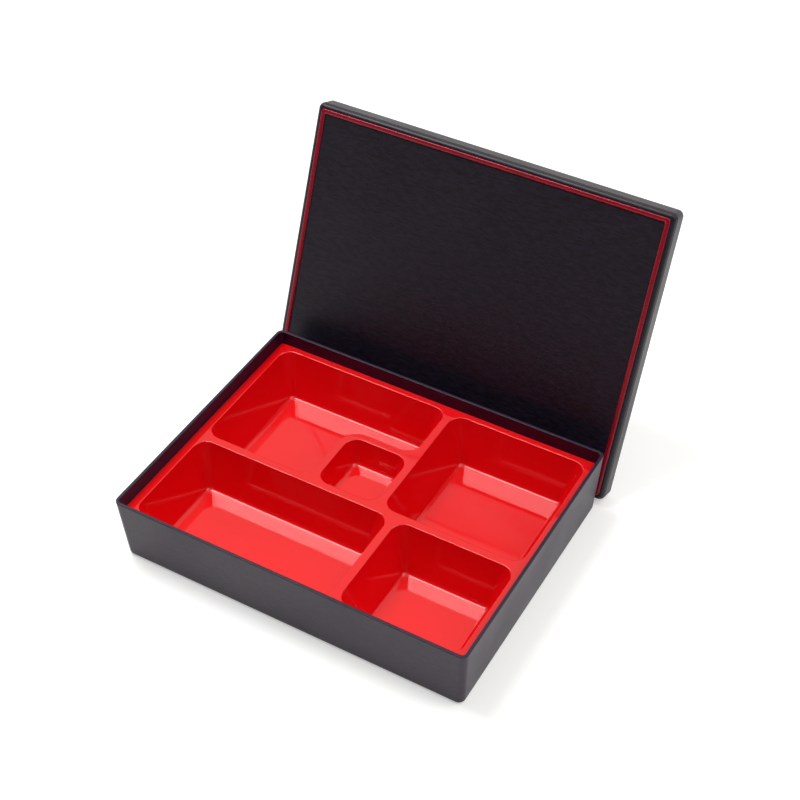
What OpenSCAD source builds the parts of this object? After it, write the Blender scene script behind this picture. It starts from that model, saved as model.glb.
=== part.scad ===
// Bento lunch box: a shallow outer box, a lift-out insert with five
// compartments, and a cap-over lid that leans behind the open box.
// Origin: centre of the box's flat underside. +X right, +Y back, +Z up. Sizes in mm.

/* [Outer box] */
// Width of the box across its rim
box_w = 270; // [200:1:360]
// Depth of the box across its rim, front to back
box_d = 207; // [160:1:280]
// Height of the box
box_h = 52.5; // [48:0.5:80]
// Radius of the box's upright corners
box_corner_r = 5; // [4:0.5:10]
// How far each side leans in at the foot
box_lean = 2.7; // [0:0.1:4]
// Radius of the rounded foot edge
foot_r = 3; // [1:0.5:3.5]
// Wall thickness at the rim
rim_t = 2.4; // [1.8:0.1:3]
// Floor thickness
floor_t = 3; // [2:0.1:4]
// Width of the inner ledge that the insert hangs on
ledge_w = 1.5; // [1:0.1:2]

/* [Insert] */
// Depth of the insert's top face below the box rim
insert_drop = 10.5; // [6:0.5:14]
// Wall thickness of the insert
skin_t = 2; // [1.2:0.1:2.4]
// Gap between the insert's edge and the box wall
insert_gap = 0.5; // [0.3:0.1:1]
// Width of the flat land between compartments
land_w = 6; // [5:0.5:9]
// Land outside the compartments, left and right
side_land = 6.6; // [5.5:0.1:10]
// Land outside the compartments, front and back
end_land = 5.1; // [4.5:0.1:9]

/* [Compartments] */
// Front-to-back size of the back row
back_row_d = 104.5; // [85:0.5:120]
// Width of the large back-left compartment
back_left_w = 139.5; // [120:0.5:155]
// Width of the front-left compartment
front_left_w = 155.5; // [120:0.5:175]
// Width of the small cell set into the back-left compartment
small_w = 47.5; // [36:0.5:56]
// Front-to-back size of the small cell
small_d = 48.5; // [36:0.5:56]
// Depth of the four large compartments
deep = 34; // [24:0.5:36]
// Depth of the small cell
small_deep = 18.5; // [12:0.5:22]
// Lean of the large compartments' walls, rim to floor
wall_lean = 12; // [6:0.5:15]
// Corner radius at a compartment's rim
rim_r = 10; // [6:0.5:12]
// Corner radius at a compartment's floor
floor_r = 4; // [2:0.5:6]

/* [Lid] */
// Room on each side between the lid's skirt and the box
lid_gap = 2; // [0.6:0.1:2.5]
// Thickness of the lid's skirt
skirt_t = 3; // [2:0.1:3.5]
// Thickness of the lid's panel
panel_t = 2.6; // [2.2:0.1:3.5]
// Height of the lid, from skirt edge to outer face
lid_h = 15.6; // [12:0.1:24]
// Radius of the lid's upright corners
lid_corner_r = 4.5; // [4:0.5:12]
// Radius of the rounded shoulder round the outer face
shoulder_r = 3.4; // [1:0.1:3.4]

/* [Red line] */
// Distance from the lid's edge to the line
line_in = 3.7; // [3.7:0.1:12]
// Width of the line
line_w = 3.5; // [2:0.1:6]
// How far the line stands above the lid's face
line_up = 0.8; // [0.3:0.1:1.5]
// Depth of the groove that holds the line
line_seat = 0.8; // [0.4:0.1:1.2]

/* [Lid at rest] */
// Angle that the lid leans back from upright
lid_tilt = 22; // [10:1:40]
// Sideways offset of the lid from the box's centre
lid_shift = -2.7; // [-20:0.1:20]
// Room between the back of the box and the foremost edge of the leaning lid
lid_stand_off = 0.2; // [0.2:0.1:40]

/* [Hidden] */
$fn = 64;
e = 0.1;

insert_top = box_h - insert_drop;
insert_w = box_w - 2 * (rim_t + insert_gap);
insert_d = box_d - 2 * (rim_t + insert_gap);

// edges of the compartments, seen from above
x_left = -insert_w / 2 + side_land;
x_right = insert_w / 2 - side_land;
y_front = -insert_d / 2 + end_land;
y_back = insert_d / 2 - end_land;
y_split = y_back - back_row_d;
x_split_back = x_left + back_left_w;
x_split_front = x_left + front_left_w;
x_small = x_split_back - small_w;
y_small = y_split + small_d;

lid_w = box_w + 2 * (lid_gap + skirt_t);
lid_d = box_d + 2 * (lid_gap + skirt_t);
// how far the red line and the shoulder reach in front of the lid's skirt edge
line_reach = (lid_h + line_up) * cos(lid_tilt) - line_in * sin(lid_tilt);
shoulder_reach = (lid_h - shoulder_r) * cos(lid_tilt) + shoulder_r * (1 - sin(lid_tilt));
// the box's leaning back wall at the height of the red line's lower edge
line_z = (lid_h + line_up) * sin(lid_tilt) + line_in * cos(lid_tilt);
wall_y = box_d / 2 - box_lean * (1 - line_z / box_h);
lid_y = wall_y + lid_stand_off + max(line_reach, shoulder_reach);

// ---------- shared shapes ----------

// thin plate with rounded corners between two opposite corners
module plate(x0, x1, y0, y1, r, t = e) {
    for (x = [x0 + r, x1 - r], y = [y0 + r, y1 - r])
        translate([x, y, 0]) cylinder(h = t, r = r, $fn = 32);
}

// the same plate, centred
module centred_plate(w, d, r, t = e) {
    plate(-w / 2, w / 2, -d / 2, d / 2, r, t);
}

// flat rounded rectangle with true arcs
module rounded_rect(w, d, r) {
    square([w - 2 * r, d], center = true);
    square([w, d - 2 * r], center = true);
    for (x = [-1, 1], y = [-1, 1])
        translate([x * (w / 2 - r), y * (d / 2 - r)]) circle(r = r);
}

// Pocket below z = 0 with leaning walls. `skin` grows it outward and downward,
// and `above` carries it up past the insert's top.
module pocket(x0, x1, y0, y1, depth, skin = 0, above = 0) {
    in = wall_lean * depth / deep - skin;
    hull() {
        translate([0, 0, -e])
            plate(x0 - skin, x1 + skin, y0 - skin, y1 + skin, rim_r + skin, above + e);
        translate([0, 0, -depth - skin])
            plate(x0 + in, x1 - in, y0 + in, y1 - in, floor_r + skin);
    }
}

// block that carries the small cell: it flares out downward and runs on past
// the walls to the right and in front
module small_cell_block(skin = 0, above = 0) {
    x0 = x_small - land_w + skin;
    y1 = y_small + land_w - skin;
    r = rim_r + land_w - skin;
    low = deep + skin_t + 1;
    lean = wall_lean * low / deep;
    hull() {
        translate([0, 0, -skin - e])
            plate(x0, x_split_back + 40, y_split - 40, y1, r, above + e);
        translate([0, 0, -low])
            plate(x0 - lean, x_split_back + 40, y_split - 40, y1 + lean, r);
    }
}

module back_left(skin = 0, above = 0) {
    pocket(x_left, x_split_back, y_split, y_back, deep, skin, above);
}

module back_right(skin = 0, above = 0) {
    pocket(x_split_back + land_w, x_right, y_split, y_back, deep, skin, above);
}

module front_left(skin = 0, above = 0) {
    pocket(x_left, x_split_front, y_front, y_split - land_w, deep, skin, above);
}

module front_right(skin = 0, above = 0) {
    pocket(x_split_front + land_w, x_right, y_front, y_split - land_w, deep, skin, above);
}

module small_cell(skin = 0, above = 0) {
    pocket(x_small, x_split_back, y_split, y_small, small_deep, skin, above);
}

// ---------- sub-parts ----------

module outer_box() {
    slope = box_lean / box_h;
    low_w = box_w - 2 * box_lean;
    low_d = box_d - 2 * box_lean;
    ledge_z = insert_top - skin_t;
    in_w = box_w - 2 * (rim_t + ledge_w + slope * insert_drop);
    in_d = box_d - 2 * (rim_t + ledge_w + slope * insert_drop);
    color([0.09, 0.08, 0.10]) difference() {
        // body with leaning sides and a rounded foot
        hull() {
            for (a = [0 : 18 : 90])
                translate([0, 0, foot_r * (1 - sin(a))])
                    centred_plate(low_w - 2 * foot_r * (1 - cos(a)),
                                  low_d - 2 * foot_r * (1 - cos(a)),
                                  box_corner_r - foot_r * (1 - cos(a)));
            translate([0, 0, box_h - e]) centred_plate(box_w, box_d, box_corner_r);
        }
        // mouth that the insert's flange drops into
        translate([0, 0, ledge_z]) hull()
            centred_plate(box_w - 2 * rim_t, box_d - 2 * rim_t,
                          box_corner_r - rim_t, box_h);
        // hollow below the ledge
        hull() {
            translate([0, 0, floor_t])
                centred_plate(in_w - 2 * box_lean, in_d - 2 * box_lean, box_corner_r - 1);
            translate([0, 0, ledge_z]) centred_plate(in_w, in_d, box_corner_r - 1);
        }
    }
}

module compartment_insert() {
    color([0.85, 0.05, 0.06]) translate([0, 0, insert_top]) difference() {
        union() {
            translate([0, 0, -skin_t]) hull()
                centred_plate(insert_w, insert_d, box_corner_r - rim_t, skin_t);
            // large back-left tray, open underneath the small cell
            difference() {
                back_left(skin_t);
                small_cell_block(skin_t);
            }
            back_right(skin_t);
            front_left(skin_t);
            front_right(skin_t);
            small_cell(skin_t);
            translate([0, 0, -skin_t]) intersection() {
                hull() plate(x_small - land_w, x_split_back, y_split, y_small + land_w,
                             rim_r, skin_t);
                hull() centred_plate(insert_w, insert_d, box_corner_r - rim_t, skin_t);
            }
        }
        difference() {
            back_left(0, 5);
            small_cell_block(0, 6);
        }
        back_right(0, 5);
        front_left(0, 5);
        front_right(0, 5);
        small_cell(0, 5);
    }
}

// puts a lid piece, drawn face up with its front skirt edge on y = 0, in its leaning place
module lean_lid() {
    translate([lid_shift, lid_y, 0]) rotate([90 - lid_tilt, 0, 0])
        translate([0, lid_d / 2, 0]) children();
}

// ring that the red line fills, centred
module line_ring(height) {
    linear_extrude(height) difference() {
        rounded_rect(lid_w - 2 * line_in, lid_d - 2 * line_in, lid_corner_r - 2);
        rounded_rect(lid_w - 2 * (line_in + line_w), lid_d - 2 * (line_in + line_w),
                     max(1, lid_corner_r - line_w));
    }
}

module lid_shell() {
    color([0.09, 0.08, 0.10]) lean_lid() difference() {
        // skirt, rounded shoulder and face
        hull() {
            centred_plate(lid_w, lid_d, lid_corner_r);
            for (a = [0 : 18 : 90])
                translate([0, 0, lid_h - e - shoulder_r * (1 - sin(a))])
                    centred_plate(lid_w - 2 * shoulder_r * (1 - cos(a)),
                                  lid_d - 2 * shoulder_r * (1 - cos(a)),
                                  lid_corner_r - shoulder_r * (1 - cos(a)));
        }
        // hollow that goes over the box
        translate([0, 0, -1]) hull()
            centred_plate(lid_w - 2 * skirt_t, lid_d - 2 * skirt_t,
                          lid_corner_r - skirt_t + 2, lid_h - panel_t + 1);
        translate([0, 0, lid_h - line_seat]) line_ring(line_seat + 1);
    }
}

module lid_red_line() {
    color([0.60, 0.05, 0.08]) lean_lid()
        translate([0, 0, lid_h - line_seat]) line_ring(line_seat + line_up);
}

outer_box();
compartment_insert();
lid_shell();
lid_red_line();
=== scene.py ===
# %% [markdown]
# # A bento lunch box, piece by piece
# This lesson dresses a finished CAD model of a bento lunch box: a black outer
# box, a glossy red insert with five compartments, and a black cap-over lid
# with a thin red line. The CAD solids stay underneath as the frame. Each cell
# adds one piece or one finish on top of them, in metres and in the same place.

import math
import bmesh
import bpy
from mathutils import Matrix, Vector


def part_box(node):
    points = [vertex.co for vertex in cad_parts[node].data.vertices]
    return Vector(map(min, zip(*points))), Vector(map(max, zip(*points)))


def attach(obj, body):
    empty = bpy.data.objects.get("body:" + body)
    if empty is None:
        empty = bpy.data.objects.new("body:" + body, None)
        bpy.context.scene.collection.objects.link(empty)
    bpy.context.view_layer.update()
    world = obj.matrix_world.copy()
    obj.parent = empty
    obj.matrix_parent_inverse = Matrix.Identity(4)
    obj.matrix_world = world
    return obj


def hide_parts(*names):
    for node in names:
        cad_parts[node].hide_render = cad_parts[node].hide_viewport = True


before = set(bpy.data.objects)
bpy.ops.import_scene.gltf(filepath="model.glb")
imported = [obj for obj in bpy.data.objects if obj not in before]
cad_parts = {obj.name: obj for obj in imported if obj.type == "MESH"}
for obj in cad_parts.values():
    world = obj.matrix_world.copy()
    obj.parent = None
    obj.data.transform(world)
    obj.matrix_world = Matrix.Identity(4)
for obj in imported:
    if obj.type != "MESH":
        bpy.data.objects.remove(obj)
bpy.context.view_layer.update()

# %% [markdown]
# ## Sizes
# A mould maker starts from a few driving sizes. The outer sizes are read back
# from the CAD solids, so the visible pieces can never drift away from them.
# The rest are the wall, rim and corner sizes that the mouldings share.

# %% Sizes of the three mouldings
MM = 0.001
CORNER_STEPS = 12
BEND_STEPS = 6

box_low, box_high = (Vector(p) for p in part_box("outer_box"))
tray_low, tray_high = (Vector(p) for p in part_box("compartment_insert"))
BOX_W, BOX_D, BOX_H = box_high - box_low
TRAY_W, TRAY_D = tray_high.x - tray_low.x, tray_high.y - tray_low.y
TRAY_TOP = tray_high.z

BOX_CORNER, BOX_LEAN, FOOT_R = 5 * MM, 2.7 * MM, 3 * MM
RIM_T, LEDGE_W, BOX_FLOOR = 2.4 * MM, 1.5 * MM, 3 * MM
print(f"box {BOX_W / MM:.1f} x {BOX_D / MM:.1f} x {BOX_H / MM:.1f} mm, "
      f"insert top at {TRAY_TOP / MM:.1f} mm")

# %% [markdown]
# ## The camera first
# The camera stands to the right and in front of the box and looks down into it
# with a fairly long lens, so the far edges shrink only a little. Placing it
# before any piece is made means that every test picture has the same view.

# %% Camera
camera_data = bpy.data.cameras.new("camera")
camera_data.lens = 71.88
camera_data.sensor_width = 36.0
camera_data.shift_x = -0.01321
camera_data.shift_y = -0.00908
camera_data.clip_start = 0.05
camera = bpy.data.objects.new("camera", camera_data)
camera.location = (0.40538, -0.64791, 0.83908)
camera.rotation_euler = [math.radians(a) for a in (47.169, 0.008, 29.586)]
bpy.context.scene.collection.objects.link(camera)
bpy.context.scene.camera = camera
print("camera at", tuple(round(v, 3) for v in camera.location))

# %% [markdown]
# ## Outlines with round corners
# Every moulding here is a stack of outlines: the same shape seen from above,
# a little larger or smaller at each height. One helper moves the sides of an
# outline inward, and one rounds its corners with the same number of points
# each time, so any two outlines can be joined by clean rows of faces.

# %% Outline helpers
def rectangle(x0, x1, y0, y1):
    """Corners of a rectangle, anticlockwise seen from above."""
    return [(x0, y0), (x1, y0), (x1, y1), (x0, y1)]


def centred(w, d):
    return rectangle(-w / 2, w / 2, -d / 2, d / 2)


def moved_in(corners, amount):
    """The same corners with every side moved inward by amount."""
    moved = []
    for i, here in enumerate(corners):
        before, after = Vector(corners[i - 1]), Vector(corners[(i + 1) % len(corners)])
        here = Vector(here)
        a, b = (here - before).normalized(), (after - here).normalized()
        moved.append(here + amount * (Vector((-a.y, a.x)) + Vector((-b.y, b.x))))
    return moved


def rounded(corners, radii, z):
    """Points round the outline at height z, with each corner rounded by its own radius."""
    points = []
    for i, here in enumerate(corners):
        before, after = Vector(corners[i - 1]), Vector(corners[(i + 1) % len(corners)])
        here = Vector(here)
        a, b = (here - before).normalized(), (after - here).normalized()
        r = radii[i]
        turn = 1 if a.x * b.y - a.y * b.x > 0 else -1
        centre = here - a * r + turn * Vector((-a.y, a.x)) * r
        start = -turn * Vector((-a.y, a.x))
        for k in range(CORNER_STEPS + 1):
            angle = turn * (math.pi / 2) * k / CORNER_STEPS
            spoke = start.copy()
            spoke.rotate(Matrix.Rotation(angle, 2))
            points.append(Vector((*(centre + spoke * r), z)))
    return points


print("a rounded square has", len(rounded(centred(1, 1), [0.1] * 4, 0)), "points")

# %% [markdown]
# ## From outlines to a surface
# A bmesh is Blender's workbench for meshes: vertices and faces are added one
# by one. Joining neighbouring outlines with four-sided faces gives long clean
# strips that follow the mould's own edges. A weighted-normal modifier then
# keeps the flat faces flat in the reflections, which matters on glossy plastic.

# %% Surface helpers
def add_loops(bm, loops, ring=False):
    """Adds each outline and the strip of faces to the next one. Returns the rows of vertices."""
    rows = [[bm.verts.new(p) for p in loop] for loop in loops]
    pairs = list(zip(rows, rows[1:])) + ([(rows[-1], rows[0])] if ring else [])
    for low, high in pairs:
        for i in range(len(low)):
            j = (i + 1) % len(low)
            bm.faces.new((low[i], low[j], high[j], high[i]))
    return rows


def piece_from(bm, name, finish):
    """Turns the bmesh into a smooth-shaded piece with its finish."""
    mesh = bpy.data.meshes.new(name)
    bm.to_mesh(mesh)
    bm.free()
    mesh.shade_smooth()
    mesh.materials.append(finish)
    piece = bpy.data.objects.new(name, mesh)
    bpy.context.scene.collection.objects.link(piece)
    return piece


def hand_over(piece, body, slot, *nodes):
    """Gives a finished piece weighted normals and its body, and hides the CAD nodes it stands for.
    The slot argument is not used.
    """
    normals = piece.modifiers.new("flat_faces_stay_flat", "WEIGHTED_NORMAL")
    normals.weight = 90
    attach(piece, body)
    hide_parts(*nodes)
    print(f"{piece.name}: {len(piece.data.polygons)} faces, rides on {body}")


# %% [markdown]
# ## Finishes: one grain for every black part
# The black parts are moulded in a tool with a fine wood-like grain. The grain
# is a shader node group, so the box and the lid share one recipe and each
# sets its own grain length and depth. Two stretched noises give the long
# fibres and the short pores between them.

# %% Node helpers and the grain group
def link(tree, source, target):
    tree.links.new(source, target)


def node(tree, kind, label=None, **values):
    n = tree.nodes.new(kind)
    if label:
        n.label = label
    for key, value in values.items():
        setattr(n, key, value)
    return n


def group_with(name, inputs, outputs):
    """A node group with named float inputs (name, default) and outputs (name, socket type)."""
    g = bpy.data.node_groups.new(name, "ShaderNodeTree")
    for label, default in inputs:
        s = g.interface.new_socket(name=label, in_out="INPUT", socket_type="NodeSocketFloat")
        s.default_value = default
    for label, kind in outputs:
        g.interface.new_socket(name=label, in_out="OUTPUT", socket_type=kind)
    return g, g.nodes.new("NodeGroupInput"), g.nodes.new("NodeGroupOutput")


grain, g_in, g_out = group_with(
    "moulded_grain",
    [("Fibre Length", 12.0), ("Fibre Density", 900.0), ("Pore Density", 2600.0)],
    [("Height", "NodeSocketFloat"), ("Fibre Mask", "NodeSocketFloat")])
place = node(grain, "ShaderNodeTexCoord")
squeeze = node(grain, "ShaderNodeVectorMath", "squeeze along X", operation="MULTIPLY")
shrink = node(grain, "ShaderNodeMath", "one over length", operation="DIVIDE")
shrink.inputs[0].default_value = 1.0
stretch = node(grain, "ShaderNodeCombineXYZ")
stretch.inputs[1].default_value = 1.0
stretch.inputs[2].default_value = 1.0
fibres = node(grain, "ShaderNodeTexNoise", "fibres")
fibres.inputs["Detail"].default_value = 4.0
fibres.inputs["Roughness"].default_value = 0.62
pores = node(grain, "ShaderNodeTexNoise", "pores")
pores.inputs["Detail"].default_value = 2.0
mix_h = node(grain, "ShaderNodeMath", "fibres and pores", operation="MULTIPLY_ADD")
mix_h.inputs[1].default_value = 0.4
mask = node(grain, "ShaderNodeMapRange", "fibre mask")
mask.inputs["From Min"].default_value = 0.38
mask.inputs["From Max"].default_value = 0.62
link(grain, g_in.outputs["Fibre Length"], shrink.inputs[1])
link(grain, shrink.outputs[0], stretch.inputs[0])
link(grain, place.outputs["Object"], squeeze.inputs[0])
link(grain, stretch.outputs[0], squeeze.inputs[1])
link(grain, squeeze.outputs[0], fibres.inputs["Vector"])
link(grain, g_in.outputs["Fibre Density"], fibres.inputs["Scale"])
link(grain, squeeze.outputs[0], pores.inputs["Vector"])
link(grain, g_in.outputs["Pore Density"], pores.inputs["Scale"])
link(grain, pores.outputs["Fac"], mix_h.inputs[0])
link(grain, fibres.outputs["Fac"], mix_h.inputs[2])
link(grain, mix_h.outputs[0], g_out.inputs["Height"])
link(grain, fibres.outputs["Fac"], mask.inputs["Value"])
link(grain, mask.outputs["Result"], g_out.inputs["Fibre Mask"])
print("grain group:", len(grain.nodes), "nodes")

# %% [markdown]
# ## Finishes: faint handling marks
# Plastic that has been picked up is never evenly shiny. A slow noise gives
# soft patches where the polish is a little duller, and every finish uses it
# with its own amount.

# %% Handling marks group
marks, m_in, m_out = group_with(
    "handling_marks", [("Patch Scale", 22.0), ("Amount", 0.1), ("Base", 0.3)],
    [("Roughness", "NodeSocketFloat"), ("Patch Mask", "NodeSocketFloat")])
spot = node(marks, "ShaderNodeTexCoord")
patches = node(marks, "ShaderNodeTexNoise", "patches")
patches.inputs["Detail"].default_value = 5.0
soft = node(marks, "ShaderNodeMapRange", "soft patches")
soft.inputs["From Min"].default_value = 0.35
soft.inputs["From Max"].default_value = 0.7
dull = node(marks, "ShaderNodeMath", "base plus patches", operation="MULTIPLY_ADD")
link(marks, spot.outputs["Object"], patches.inputs["Vector"])
link(marks, m_in.outputs["Patch Scale"], patches.inputs["Scale"])
link(marks, patches.outputs["Fac"], soft.inputs["Value"])
link(marks, soft.outputs["Result"], dull.inputs[0])
link(marks, m_in.outputs["Amount"], dull.inputs[1])
link(marks, m_in.outputs["Base"], dull.inputs[2])
link(marks, dull.outputs[0], m_out.inputs["Roughness"])
link(marks, soft.outputs["Result"], m_out.inputs["Patch Mask"])
print("handling marks group ready")


# %% Parts that every finish shares
def blank_finish(name):
    """A material with only a Principled shader and its output. Returns (material, tree, shader)."""
    material = bpy.data.materials.new(name)
    material.use_nodes = True
    tree = material.node_tree
    return material, tree, tree.nodes["Principled BSDF"]


def placed(tree, group, **values):
    """Puts a node group into a material and sets its inputs."""
    n = node(tree, "ShaderNodeGroup", node_tree=group)
    for label, value in values.items():
        n.inputs[label.replace("_", " ")].default_value = value
    return n


def two_tones(tree, mask_socket, dark, light):
    """A colour that goes from dark to light with the mask."""
    mix = node(tree, "ShaderNodeMix", "two tones", data_type="RGBA")
    mix.inputs["A"].default_value = (*dark, 1)
    mix.inputs["B"].default_value = (*light, 1)
    link(tree, mask_socket, mix.inputs["Factor"])
    return mix.outputs["Result"]


# %% [markdown]
# ## The black grained plastic
# The black is a satin plastic, a touch violet in daylight. Its colour comes
# from two near-black tones under the fibre mask, its roughness from the
# handling marks, and its relief from a Bump node over the grain.

# %% Black finishes
def black_plastic(name, dark, light, roughness, depth, length, density):
    material, tree, shader = blank_finish(name)
    g = placed(tree, grain, Fibre_Length=length, Fibre_Density=density)
    m = placed(tree, marks, Patch_Scale=18.0, Amount=0.08, Base=roughness)
    link(tree, two_tones(tree, g.outputs["Fibre Mask"], dark, light),
         shader.inputs["Base Color"])
    link(tree, m.outputs["Roughness"], shader.inputs["Roughness"])
    bump = node(tree, "ShaderNodeBump", "grain relief")
    bump.inputs["Distance"].default_value = depth
    bump.inputs["Strength"].default_value = 1.0
    link(tree, g.outputs["Height"], bump.inputs["Height"])
    link(tree, bump.outputs["Normal"], shader.inputs["Normal"])
    shader.inputs["Specular IOR Level"].default_value = 0.35
    print("finish:", name)
    return material


box_black = black_plastic(
    "box_black", (0.008, 0.001, 0.012), (0.017, 0.004, 0.023), 0.36, 0.00012, 4.0, 640.0)
lid_black = black_plastic(
    "lid_black", (0.003, 0.002, 0.005), (0.011, 0.006, 0.016), 0.38, 0.00010, 4.0, 640.0)

# %% [markdown]
# ## The glossy red
# The insert is pressed in a polished tool, so it mirrors the room. Its base
# colour has almost no green or blue: whatever pink shows is reflected light.
# A very shallow, slow bump gives the slight unevenness of moulded plastic.

# %% Red finish
tray_red, tree, red_shader = blank_finish("tray_red")
m = placed(tree, marks, Patch_Scale=9.0, Amount=0.03, Base=0.05)
link(tree, m.outputs["Roughness"], red_shader.inputs["Roughness"])
link(tree, two_tones(tree, m.outputs["Patch Mask"], (0.64, 0.001, 0.003), (0.68, 0.002, 0.005)),
     red_shader.inputs["Base Color"])
where = node(tree, "ShaderNodeTexCoord")
flow = node(tree, "ShaderNodeTexNoise", "flow of the plastic")
flow.inputs["Scale"].default_value = 26.0
flow.inputs["Detail"].default_value = 1.0
flow_bump = node(tree, "ShaderNodeBump", "slight unevenness")
flow_bump.inputs["Distance"].default_value = 0.00008
link(tree, where.outputs["Object"], flow.inputs["Vector"])
link(tree, flow.outputs["Fac"], flow_bump.inputs["Height"])
link(tree, flow_bump.outputs["Normal"], red_shader.inputs["Normal"])
print("finish: tray_red")

# %% [markdown]
# ## The red line
# The line is a raised bead with foil pressed onto it. The foil is a deep
# satin red, and it thins to a browner tone in soft patches.

# %% Line finish
line_red, tree, line_shader = blank_finish("line_red")
m = placed(tree, marks, Patch_Scale=60.0, Amount=0.1, Base=0.22)
g = placed(tree, grain, Fibre_Length=4.0, Fibre_Density=1100.0)
link(tree, m.outputs["Roughness"], line_shader.inputs["Roughness"])
link(tree, two_tones(tree, m.outputs["Patch Mask"], (0.25, 0.002, 0.014), (0.18, 0.002, 0.010)),
     line_shader.inputs["Base Color"])
line_bump = node(tree, "ShaderNodeBump", "foil over grain")
line_bump.inputs["Distance"].default_value = 0.00003
link(tree, g.outputs["Height"], line_bump.inputs["Height"])
link(tree, line_bump.outputs["Normal"], line_shader.inputs["Normal"])
line_shader.inputs["Specular IOR Level"].default_value = 0.35
print("finish: line_red")

# %% [markdown]
# ## The outer box
# The box is one moulding: sides that lean in a little towards the foot, a
# rounded foot edge, a thin rounded rim, and a ledge inside that the insert
# hangs on. It is one closed stack of outlines, from the middle of the
# underside, up the outside, over the rim and down to the floor inside.

# %% Build the outer box
def quarter(steps):
    """Angles of a quarter turn, from 0 to 90 degrees."""
    return [math.pi / 2 * k / steps for k in range(steps + 1)]


def box_level(z, inward, r):
    """Outline of the box at height z: inward is measured from the leaning outer face."""
    lean = BOX_LEAN * (1 - z / BOX_H)
    return rounded(moved_in(centred(BOX_W, BOX_D), lean + inward), [r] * 4, z)


EDGE_R, INNER_R, TRAY_T = 0.6 * MM, 2 * MM, 2 * MM
FAR_IN = 20 * MM
ledge_z = TRAY_TOP - TRAY_T
inside = RIM_T + LEDGE_W
loops = [rounded(moved_in(centred(BOX_W, BOX_D), FAR_IN), [1 * MM] * 4, 0)]
for a in quarter(BEND_STEPS):
    foot = FOOT_R * (1 - math.sin(a))
    loops.append(rounded(moved_in(centred(BOX_W, BOX_D), BOX_LEAN + foot),
                         [BOX_CORNER - foot] * 4, FOOT_R * (1 - math.cos(a))))
for a in quarter(BEND_STEPS):
    loops.append(box_level(BOX_H - EDGE_R * (1 - math.sin(a)), EDGE_R * (1 - math.cos(a)),
                           BOX_CORNER - EDGE_R * (1 - math.cos(a))))
for a in quarter(BEND_STEPS):
    loops.append(box_level(BOX_H - EDGE_R * (1 - math.cos(a)), RIM_T - EDGE_R * (1 - math.sin(a)),
                           BOX_CORNER - RIM_T + EDGE_R * (1 - math.sin(a))))
loops.append(box_level(ledge_z, RIM_T - 0.2 * MM, 2.8 * MM))
loops.append(box_level(ledge_z, inside, 2.5 * MM))
for a in quarter(BEND_STEPS):
    loops.append(box_level(BOX_FLOOR + INNER_R * (1 - math.sin(a)),
                           inside + INNER_R * (1 - math.cos(a)), 3.5 * MM))
loops.append(box_level(BOX_FLOOR, inside + FAR_IN, 2 * MM))

bm = bmesh.new()
rows = add_loops(bm, loops)
bm.faces.new(rows[0])
bm.faces.new(rows[-1])
bmesh.ops.recalc_face_normals(bm, faces=bm.faces)
lunch_box = piece_from(bm, "black_box", box_black)
hand_over(lunch_box, "box", "outer_box", "outer_box")

# %% [markdown]
# ## The compartment insert
# The insert is one sheet of red plastic with five pockets pressed into it.
# Each pocket is a stack of outlines again: a soft lip, a wall that leans in
# evenly, a round bend at the bottom and a flat floor. The top land is one flat
# face with holes, filled in between the lips. A Solidify modifier then gives
# the sheet its thickness downward, as the real wall has.

# %% Compartment sizes
LAND, SIDE_LAND, END_LAND = 6 * MM, 6.6 * MM, 5.1 * MM
DEEP, SMALL_DEEP, WALL_LEAN = 34 * MM, 18.5 * MM, 12 * MM
POCKET_R, FLOOR_R = 10 * MM, 4 * MM
LIP_R, BEND_R = 0.7 * MM, 3.4 * MM

left, right = -TRAY_W / 2 + SIDE_LAND, TRAY_W / 2 - SIDE_LAND
front, back = -TRAY_D / 2 + END_LAND, TRAY_D / 2 - END_LAND
row_split = back - 104.5 * MM
back_split, front_split = left + 139.5 * MM, left + 155.5 * MM
cell_left, cell_back = back_split - 47.5 * MM, row_split + 48.5 * MM

pockets = {
    "back_left": ([(left, row_split), (cell_left - LAND, row_split),
                   (cell_left - LAND, cell_back + LAND), (back_split, cell_back + LAND),
                   (back_split, back), (left, back)], DEEP),
    "small_cell": (rectangle(cell_left, back_split, row_split, cell_back), SMALL_DEEP),
    "back_right": (rectangle(back_split + LAND, right, row_split, back), DEEP),
    "front_left": (rectangle(left, front_split, front, row_split - LAND), DEEP),
    "front_right": (rectangle(front_split + LAND, right, front, row_split - LAND), DEEP),
}
lean_angle = math.atan(WALL_LEAN / DEEP)
print(f"walls lean {math.degrees(lean_angle):.1f} degrees")


# %% One pocket as a stack of outlines
def pocket_radii(corners, share):
    """Corner radii at a share of the depth: outer corners tighten, the inner corner stays wide."""
    radii = []
    for i, here in enumerate(corners):
        a = Vector(here) - Vector(corners[i - 1])
        b = Vector(corners[(i + 1) % len(corners)]) - Vector(here)
        inner = a.x * b.y - a.y * b.x < 0
        radii.append(POCKET_R + LAND if inner else POCKET_R + (FLOOR_R - POCKET_R) * share)
    return radii


def pocket_loops(corners, depth):
    bend = math.pi / 2 - lean_angle
    slope = WALL_LEAN / DEEP
    levels = []
    reach = LIP_R * math.tan(bend / 2)
    for k in range(BEND_STEPS + 1):
        t = bend * k / BEND_STEPS
        levels.append((-reach + LIP_R * math.sin(t), LIP_R * (1 - math.cos(t))))
    reach = BEND_R * math.tan(bend / 2)
    for k in range(BEND_STEPS + 1):
        t = bend * (1 - k / BEND_STEPS)
        levels.append((slope * depth + reach - BEND_R * math.sin(t),
                       depth - BEND_R * (1 - math.cos(t))))
    levels.append((levels[-1][0] + 1.5 * MM, depth))
    return [rounded(moved_in(corners, inward),
                    pocket_radii(corners, min(1, down / depth)), TRAY_TOP - down)
            for inward, down in levels]


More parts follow.
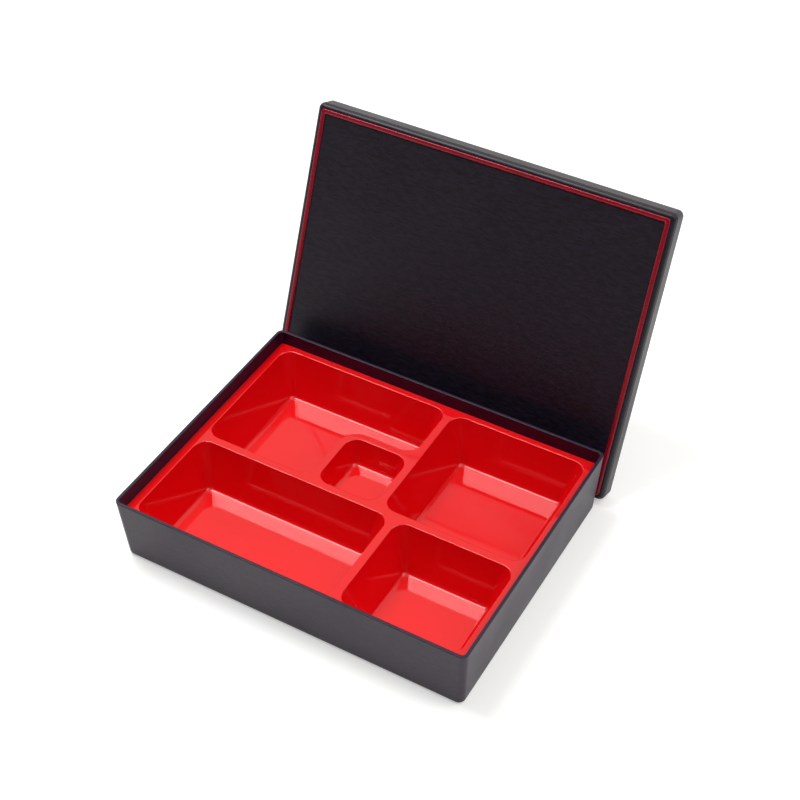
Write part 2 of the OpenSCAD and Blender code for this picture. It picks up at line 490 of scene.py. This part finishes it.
# %% Build the insert
bm = bmesh.new()
rim_edges = []
for name, (corners, depth) in pockets.items():
    rows = add_loops(bm, pocket_loops(corners, depth))
    bm.faces.new(rows[-1])
    rim_edges += [bm.edges.get((rows[0][i - 1], rows[0][i])) for i in range(len(rows[0]))]

TRAY_EDGE, TRAY_CORNER, SHEET_T = 0.6 * MM, 2.6 * MM, 1.8 * MM
skirt = []
for a in quarter(BEND_STEPS):
    skirt.append(rounded(moved_in(centred(TRAY_W, TRAY_D), TRAY_EDGE * (1 - math.sin(a))),
                         [TRAY_CORNER - TRAY_EDGE * (1 - math.sin(a))] * 4,
                         TRAY_TOP - TRAY_EDGE * (1 - math.cos(a))))
skirt.append(rounded(centred(TRAY_W, TRAY_D), [TRAY_CORNER] * 4, TRAY_TOP - 1 * MM))
rows = add_loops(bm, skirt)
rim_edges += [bm.edges.get((rows[0][i - 1], rows[0][i])) for i in range(len(rows[0]))]
land = bmesh.ops.triangle_fill(bm, edges=rim_edges, use_beauty=True, normal=(0, 0, 1))
bmesh.ops.recalc_face_normals(bm, faces=bm.faces)
top_faces = [f for f in bm.faces if abs(f.calc_center_median().z - TRAY_TOP) < 1e-6]
if sum(f.normal.z * f.calc_area() for f in top_faces) < 0:
    bmesh.ops.reverse_faces(bm, faces=bm.faces)
print("land triangles:", len(top_faces))

insert = piece_from(bm, "red_insert", tray_red)
wall = insert.modifiers.new("sheet_thickness", "SOLIDIFY")
wall.thickness = SHEET_T
wall.offset = -1
wall.use_even_offset = True
hand_over(insert, "insert", "compartment_insert", "compartment_insert")

# %% [markdown]
# ## The lid
# The lid goes over the box like a cap. It is drawn face up in its own flat
# place, and one matrix then leans it back, so that its red line stands just
# clear of the back of the box. The sides end in a thin line, from which a round
# shoulder runs to the face. The face has a seat for the red bead, and the
# panel inside the bead lies a hair lower.

# %% Lid sizes and its leaning place
LID_W, LID_D, LID_H = BOX_W + 10 * MM, BOX_D + 10 * MM, 15.6 * MM
LID_CORNER, SKIRT_T, PANEL_T = 4.5 * MM, 3 * MM, 2.6 * MM
SHOULDER_R, SIDE_LINE = 3.4 * MM, 0.25 * MM
LINE_IN, LINE_W, LINE_UP, LINE_SEAT = 3.7 * MM, 3.5 * MM, 0.8 * MM, 0.8 * MM
PANEL_DROP, STAND_OFF = 0.25 * MM, 0.2 * MM
tilt = math.radians(22)
line_reach = (LID_H + LINE_UP) * math.cos(tilt) - LINE_IN * math.sin(tilt)
line_z = (LID_H + LINE_UP) * math.sin(tilt) + LINE_IN * math.cos(tilt)
wall_y = BOX_D / 2 - BOX_LEAN * (1 - line_z / BOX_H)
lid_y = wall_y + STAND_OFF + line_reach
lid_place = (Matrix.Translation((-2.7 * MM, lid_y, 0))
             @ Matrix.Rotation(math.pi / 2 - tilt, 4, "X")
             @ Matrix.Translation((0, LID_D / 2, 0)))
corner_check = lid_place @ Vector((LID_W / 2, LID_D / 2, LID_H))
print("upper right corner of the lid:", tuple(round(v, 4) for v in corner_check))


def lid_level(inward, z, r):
    return rounded(moved_in(centred(LID_W, LID_D), inward), [max(r, 0.3 * MM)] * 4, z)


# %% Build the lid
loops = [lid_level(30 * MM, LID_H - PANEL_DROP, 1 * MM),
         lid_level(LINE_IN + LINE_W + 1.2 * MM, LID_H - PANEL_DROP, 0.5 * MM),
         lid_level(LINE_IN + LINE_W + 0.4 * MM, LID_H - PANEL_DROP, 0.8 * MM),
         lid_level(LINE_IN + LINE_W, LID_H - 0.4 * MM, 1 * MM),
         lid_level(LINE_IN + LINE_W, LID_H - LINE_SEAT, 1 * MM),
         lid_level(LINE_IN, LID_H - LINE_SEAT, 2.5 * MM),
         lid_level(LINE_IN, LID_H - 0.15 * MM, 2.5 * MM),
         lid_level(LINE_IN - 0.15 * MM, LID_H, 2.6 * MM)]
SKIRT_EDGE, HOLLOW_R = 0.8 * MM, 1.5 * MM
round_r = SHOULDER_R - SIDE_LINE
for a in quarter(BEND_STEPS + 2):
    inward = SIDE_LINE + round_r * (1 - math.sin(a))
    loops.append(lid_level(inward, LID_H - round_r * (1 - math.cos(a)), LID_CORNER - inward))
loops.append(lid_level(0.05 * MM, LID_H - SHOULDER_R, LID_CORNER))
loops.append(lid_level(0, LID_H - SHOULDER_R - 0.15 * MM, LID_CORNER))
for a in quarter(BEND_STEPS):
    edge_in = SKIRT_EDGE * (1 - math.cos(a))
    loops.append(lid_level(edge_in, SKIRT_EDGE * (1 - math.sin(a)), LID_CORNER - edge_in))
for a in quarter(BEND_STEPS):
    loops.append(lid_level(SKIRT_T - SKIRT_EDGE * (1 - math.sin(a)),
                           SKIRT_EDGE * (1 - math.cos(a)), LID_CORNER - SKIRT_T + 2 * MM))
for a in quarter(BEND_STEPS):
    loops.append(lid_level(SKIRT_T + HOLLOW_R * (1 - math.cos(a)),
                           LID_H - PANEL_T - HOLLOW_R * (1 - math.sin(a)), 3 * MM))
loops.append(lid_level(30 * MM, LID_H - PANEL_T, 2 * MM))

bm = bmesh.new()
rows = add_loops(bm, loops)
bm.faces.new(rows[0])
bm.faces.new(rows[-1])
bmesh.ops.recalc_face_normals(bm, faces=bm.faces)
bm.transform(lid_place)
lid = piece_from(bm, "black_lid", lid_black)
hand_over(lid, "lid", "lid_shell", "lid_shell")

# %% [markdown]
# ## The red bead
# The bead is a ring with a domed top, set into the lid's seat. Its section is
# a flat-bottomed arch, carried round the same rounded outline as the lid.

# %% Build the bead
sections = []
for k in range(9):
    a = math.pi * k / 8
    sections.append((LINE_IN + LINE_W / 2 * (1 - math.cos(a)),
                     LID_H + LINE_UP * math.sin(a) ** 0.85 - (0.25 * MM if k in (0, 8) else 0)))
sections.append((LINE_IN + LINE_W, LID_H - LINE_SEAT))
sections.append((LINE_IN, LID_H - LINE_SEAT))
bead_loops = [lid_level(inward, z, 2.5 * MM - (inward - LINE_IN) * 0.43)
              for inward, z in sections]
bm = bmesh.new()
add_loops(bm, bead_loops, ring=True)
bmesh.ops.recalc_face_normals(bm, faces=bm.faces)
bm.transform(lid_place)
bead = piece_from(bm, "red_bead", line_red)
hand_over(bead, "lid", "lid_red_line", "lid_red_line")

# %% [markdown]
# ## Floor and light
# The box stands on a plain pale floor under a strong softbox high on the left,
# which gives the thin bright lines in the bends of the red insert. A wide, dim
# softbox on the right and a faint glow of the floor keep the shadows light. The
# room is dark in front and pale behind, so the lid's face stays black.

# %% Floor
floor_mesh = bpy.data.meshes.new("floor")
bm = bmesh.new()
bmesh.ops.create_grid(bm, x_segments=2, y_segments=2, size=4.0)
bm.to_mesh(floor_mesh)
bm.free()
floor = bpy.data.objects.new("floor", floor_mesh)
bpy.context.scene.collection.objects.link(floor)
pale, tree, pale_shader = blank_finish("pale_floor")
pale_shader.inputs["Base Color"].default_value = (0.70, 0.70, 0.70, 1)
pale_shader.inputs["Emission Color"].default_value = (1, 1, 1, 1)
pale_shader.inputs["Emission Strength"].default_value = 0.40
pale_shader.inputs["Roughness"].default_value = 0.9
pale_shader.inputs["Specular IOR Level"].default_value = 0.1
floor.data.materials.append(pale)
print("floor laid")


# %% Lights
def softbox(name, location, aim, size_x, size_y, radiance):
    """A rectangular area light with the given brightness, aimed at a point."""
    data = bpy.data.lights.new(name, "AREA")
    data.shape = "RECTANGLE"
    data.size, data.size_y = size_x, size_y
    data.energy = radiance * math.pi * size_x * size_y
    lamp = bpy.data.objects.new(name, data)
    lamp.location = location
    way = Vector(aim) - Vector(location)
    lamp.rotation_euler = way.to_track_quat("-Z", "Y").to_euler()
    bpy.context.scene.collection.objects.link(lamp)
    print(f"{name}: {data.energy:.1f} W")
    return lamp


softbox("overhead_softbox", (-0.55, 0.0, 1.40), (0, 0, 0.02), 0.50, 0.66, 14.0)
softbox("right_fill", (0.80, 0.15, 1.10), (0.1, 0, 0.02), 0.9, 0.9, 1.9)

world = bpy.data.worlds.new("pale_room")
bpy.context.scene.world = world
world.use_nodes = True
tree = world.node_tree
sky = tree.nodes["Background"]
way = node(tree, "ShaderNodeTexCoord")
toward = node(tree, "ShaderNodeVectorMath", "toward the back and up", operation="DOT_PRODUCT")
toward.inputs[1].default_value = (0, 0.8, 0.6)
ramp = node(tree, "ShaderNodeMapRange", "dark in front, pale behind")
ramp.interpolation_type = "SMOOTHSTEP"
ramp.inputs["From Min"].default_value = -0.3
ramp.inputs["From Max"].default_value = 0.7
ramp.inputs["To Min"].default_value = 0.05
ramp.inputs["To Max"].default_value = 1.0
link(tree, way.outputs["Generated"], toward.inputs[0])
link(tree, toward.outputs["Value"], ramp.inputs["Value"])
link(tree, ramp.outputs["Result"], sky.inputs["Strength"])
sky.inputs["Color"].default_value = (1, 0.99, 0.94, 1)
bpy.context.scene.view_settings.view_transform = "Standard"
print("pale room lit")
